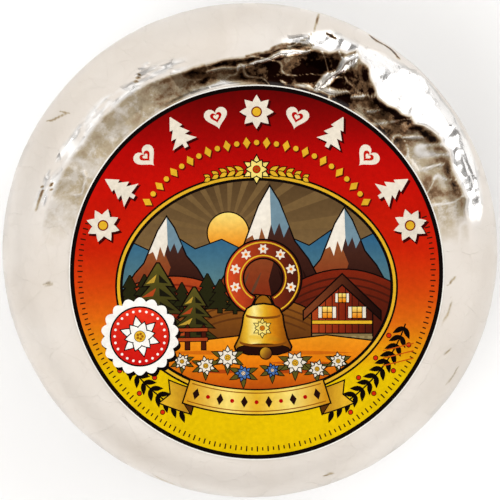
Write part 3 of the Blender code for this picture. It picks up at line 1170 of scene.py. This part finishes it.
def foil_surface():
    """Every point of the foil, row by row, and how burnished it is there and how dark its painted reflection
    and shade are there.
    """
    skin = Skin()
    fold, lines = fold_relief(skin.x, skin.y)
    fold = fold * skin.clear * skin.on_top
    out = top_relief(skin) + side_relief(skin)
    radius = skin.radius + out * skin.across
    upward = np.maximum(skin.up, 0)
    height = skin.height + (out + fold) * upward + skin.on_top * rim_height(skin.angle, skin.path)

    # The gathered foil of the underside lies a little above the foot that the wheel stands on
    stepped, crumpled = GATHERS
    crumple = 0.5 + crumples(Facets(32), (0.5, 0.007, 0.007), skin.x, skin.y)
    gather = stepped * (1 - skin.share) + crumpled * crumple
    height = np.maximum(height, 0) + gather * rise(skin.path, PATH_BASE, 0.008)
    points = np.stack((radius * np.cos(skin.angle), radius * np.sin(skin.angle), height), axis=-1)
    return points, burnish_of(skin, fold), darkness_of(skin, fold, lines)


# The foil's colours: where it lies smooth; on the side's facets, painted darker than bare metal as a
# painted reflection of the room and each given a painted tone of light and shade; and on crushed foil
# that faces the light
SATIN = ((0.665, 0.608, 0.545), (0.725, 0.68, 0.63))
PAINTED_FACET_TONES = ((0.49, 0.47, 0.445), (0.82, 0.795, 0.77))
BRIGHT_METAL = (0.92, 0.91, 0.90)

# Foil that mirrors the dark room, painted into its colour, as (darkness where a tint starts, darkness where
# it is full, colour)
PAINTED_REFLECTION_TINTS = (
    (0.02, 0.22, (0.46, 0.38, 0.26)),
    (0.24, 0.50, (0.24, 0.135, 0.068)),
    (0.46, 0.90, (0.008, 0.002, 0.001)),
)


def foil_material():
    """Aluminium foil: satin where it lies smooth, burnished where it is crushed, folded or drawn tight, with
    painted reflection, painted shade and painted facet light in its colour.
    """
    material, nodes, shader = new_material("foil")
    place = nodes.add("TexCoord").outputs["Object"]
    burnish = nodes.add("Attribute", attribute_name="burnish").outputs["Fac"]
    # Darkness from the sheet: painted reflection of a dark room in the valley and painted shade along creases
    painted_darkness = nodes.add("Attribute", attribute_name="painted_darkness").outputs["Fac"]
    speck = nodes.noise(place, 900, 3)
    height = nodes.add("SeparateXYZ", place).outputs["Z"]
    upper = nodes.ranged(height, 0, 1, SIDE_TOP + 0.002, WHEEL_HEIGHT)

    # Facets in two sizes, drawn out upright, whose random colours give each its tilt and a painted tone of
    # light and shade
    warp = nodes.add("TexNoise", place, Scale=90).outputs["Color"]
    moved = nodes.vector("ADD", place, nodes.vector("SCALE", warp, Scale=0.006))
    facets = []
    for squash, scale in ((0.34, 105), (0.55, 300)):
        upright = nodes.add("Mapping", moved, Scale=(1, 1, squash)).outputs[0]
        facets.append((upright, nodes.add("TexVoronoi", upright, Scale=scale).outputs))
    painted_facet_light = nodes.math("MULTIPLY", *(nodes.ranged(cell["Color"], 0, 1, 0.2, 0.8) for _, cell in facets))

    satin = nodes.mix(nodes.ranged(nodes.noise(place, 60, 4), 0, 1, 0.3, 0.7), *SATIN)
    # Burnished foil low on the side takes the facets' painted light and shade, darker than the metal above it
    colour = nodes.mix(burnish, satin, nodes.mix(upper, nodes.mix(painted_facet_light, *PAINTED_FACET_TONES), BRIGHT_METAL))
    # The painted reflection and painted shade, mottled, darken the colour in steps from tan through brown to
    # black
    spots = nodes.ranged(nodes.noise(place, 260, 6, Roughness=0.72), 0.48, 1.45, 0.38, 0.60)
    painted_dark_share = nodes.math("MULTIPLY", spots, painted_darkness)
    for start, end, tint in PAINTED_REFLECTION_TINTS:
        colour = nodes.mix(nodes.ranged(painted_dark_share, 0, 1, start, end), colour, tint)
    nodes.put(shader["Base Color"], colour)

    gloss = nodes.math("MINIMUM", nodes.ranged(burnish, 0.50, 0.29), nodes.ranged(burnish, 0.60, 0.20, 0.92))
    nodes.put(shader["Roughness"], nodes.math("ADD", gloss, nodes.ranged(speck, -0.03, 0.03)))
    nodes.put(shader["Metallic"], nodes.ranged(burnish, 0.28, 1))

    rolled = nodes.add("Mapping", place, Scale=(60, 2400, 60)).outputs[0]
    normal = nodes.bump(nodes.noise(rolled, 1), 0.12, 0.00003)
    normal = nodes.bump(speck, 0.35, 0.00018, Normal=normal)
    relief = nodes.math("MULTIPLY", nodes.ranged(burnish, 0.16, 1), nodes.ranged(upper, 2, 0.65))
    for (upright, cell), tilt in zip(facets, (0.50, 0.24)):
        lean = nodes.vector("SUBTRACT", cell["Color"], (0.5, 0.5, 0.5))
        away = nodes.vector("SUBTRACT", upright, cell["Position"])
        plane = nodes.add("VectorMath", lean, away, operation="DOT_PRODUCT").outputs["Value"]
        normal = nodes.bump(nodes.math("MULTIPLY", plane, relief), 1, tilt, Normal=normal)
    nodes.put(shader["Normal"], normal)
    return material


def make_foil():
    """The foil as one closed skin round the cheese."""
    points, burnish, painted_darkness = foil_surface()
    rows, columns = points.shape[:2]
    number = np.arange(rows * columns).reshape(rows, columns)
    right = np.roll(number, -1, axis=1)
    quads = np.stack((number[:-1], number[1:], right[1:], right[:-1]), axis=-1).reshape(-1, 4)
    top, bottom = rows * columns, rows * columns + 1
    faces = quads.tolist()
    faces += [[top, here, there] for here, there in zip(number[0].tolist(), right[0].tolist())]
    faces += [[bottom, there, here] for here, there in zip(number[-1].tolist(), right[-1].tolist())]
    ends = [(0, 0, WHEEL_HEIGHT), (0, 0, float(points[-1, :, 2].mean()))]
    mesh = bpy.data.meshes.new("foil_wrapping")
    mesh.from_pydata([*points.reshape(-1, 3).tolist(), *ends], [], faces)
    # The second attribute holds the painted reflection and painted shade that darken the foil's colour
    for name, values in (("burnish", burnish), ("painted_darkness", painted_darkness)):
        layer = mesh.attributes.new(name, "FLOAT", "POINT")
        layer.data.foreach_set("value", np.append(values.ravel(), (0, 0)))
    mesh.materials.append(foil_material())
    mesh.shade_smooth()
    foil = bpy.data.objects.new("foil_wrapping", mesh)
    bpy.context.scene.collection.objects.link(foil)
    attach(foil, "root")
    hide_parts("foil_wrap")


# The studio, with directions as (degrees anticlockwise from +X, degrees down from straight up)
CAMERA_DISTANCE = 0.90
PICTURE_PIXELS = 500
OUTLINE_PIXELS = 247.5  # radius of the wheel's outline in the picture
FLOOR_RADIUS = 3
FLOOR_TONES = ((0.96, 0.965, 0.97), (0.975, 0.98, 0.985))
OVERHEAD = (0.80, 0.775, 0.745)
HORIZON = (0.15, 0.145, 0.14)
DARK_ROOM = (0.22, 0.18, 0.15)
BACKDROP = (0.96, 0.96, 0.96)
PATCHES = (
    # middle, from the middle to where it starts to fade and to where it has gone, colour
    ((43, 54), (28, 41), (1.90, 1.88, 1.86)),
    ((130, 81), (7, 15), (2.60, 2.57, 2.53)),
    ((215, 80), (7, 17), (2.60, 2.57, 2.53)),
    ((305, 80), (7, 18), (2.60, 2.57, 2.53)),
    ((146, 36), (8, 20), (1.55, 1.52, 1.48)),
    ((236, 54), (12, 28), DARK_ROOM),
    ((276, 54), (12, 28), DARK_ROOM),
)


def make_world():
    """A pale studio, light overhead and dim at the horizon, with patches of light and dark for the foil."""
    world = bpy.data.worlds.new("studio")
    world.use_nodes = True
    bpy.context.scene.world = world
    nodes = Nodes(world.node_tree)
    place = nodes.add("TexCoord").outputs["Generated"]
    height = nodes.add("SeparateXYZ", place).outputs["Z"]
    colour = nodes.mix(nodes.ranged(height, 0, 1), HORIZON, OVERHEAD)
    for middle, reach, tint in PATCHES:
        near, far = (math.cos(math.radians(angle)) for angle in reach)
        aim = nodes.add("VectorMath", place, direction(*middle), operation="DOT_PRODUCT").outputs["Value"]
        edge = nodes.add("MapRange", aim, far, near, interpolation_type="SMOOTHSTEP").outputs[0]
        colour = nodes.mix(edge, colour, tint)
    lit = nodes.add("Background", colour).outputs[0]
    seen = nodes.add("Background", BACKDROP).outputs[0]
    choice = nodes.add("MixShader", nodes.add("LightPath").outputs["Is Camera Ray"], lit, seen).outputs[0]
    nodes.put(world.node_tree.nodes["World Output"].inputs["Surface"], choice)


def make_floor():
    """A plain pale floor."""
    bpy.ops.mesh.primitive_circle_add(vertices=96, radius=FLOOR_RADIUS, fill_type="NGON")
    floor = bpy.context.object
    floor.name = "floor"
    material, nodes, shader = new_material("floor")
    cloud = nodes.noise(nodes.add("TexCoord").outputs["Object"], 3)
    nodes.put(shader["Base Color"], nodes.mix(cloud, *FLOOR_TONES))
    nodes.put(shader["Roughness"], 0.8)
    floor.data.materials.append(material)


def make_lights():
    """A broad lamp overhead that lights the print and the floor but isn't mirrored by the foil."""
    lamp = bpy.data.lights.new("overhead_lamp", "AREA")
    lamp.shape = "DISK"
    lamp.size = 1.2
    lamp.energy = 14
    light = bpy.data.objects.new("overhead_lamp", lamp)
    light.location = (-0.50, -0.55, 1.5)
    light.rotation_euler = (Vector(light.location)).to_track_quat("Z", "Y").to_euler()
    light.visible_glossy = False
    light.visible_camera = False
    bpy.context.scene.collection.objects.link(light)


def make_camera():
    """Straight above the wheel with the label upright, with a lens that frames its outline like the photo."""
    data = bpy.data.cameras.new("camera")
    reach = WHEEL_RADIUS / CAMERA_DISTANCE * PICTURE_PIXELS / 2 / OUTLINE_PIXELS
    data.lens = data.sensor_width / 2 / reach
    data.clip_start = 0.01
    camera = bpy.data.objects.new("camera", data)
    camera.location = (0, 0, SIDE_TOP + CAMERA_DISTANCE)
    bpy.context.scene.collection.objects.link(camera)
    bpy.context.scene.camera = camera


make_label()
make_foil()
make_floor()
make_world()
make_lights()
make_camera()
bpy.context.scene.view_settings.view_transform = "Standard"
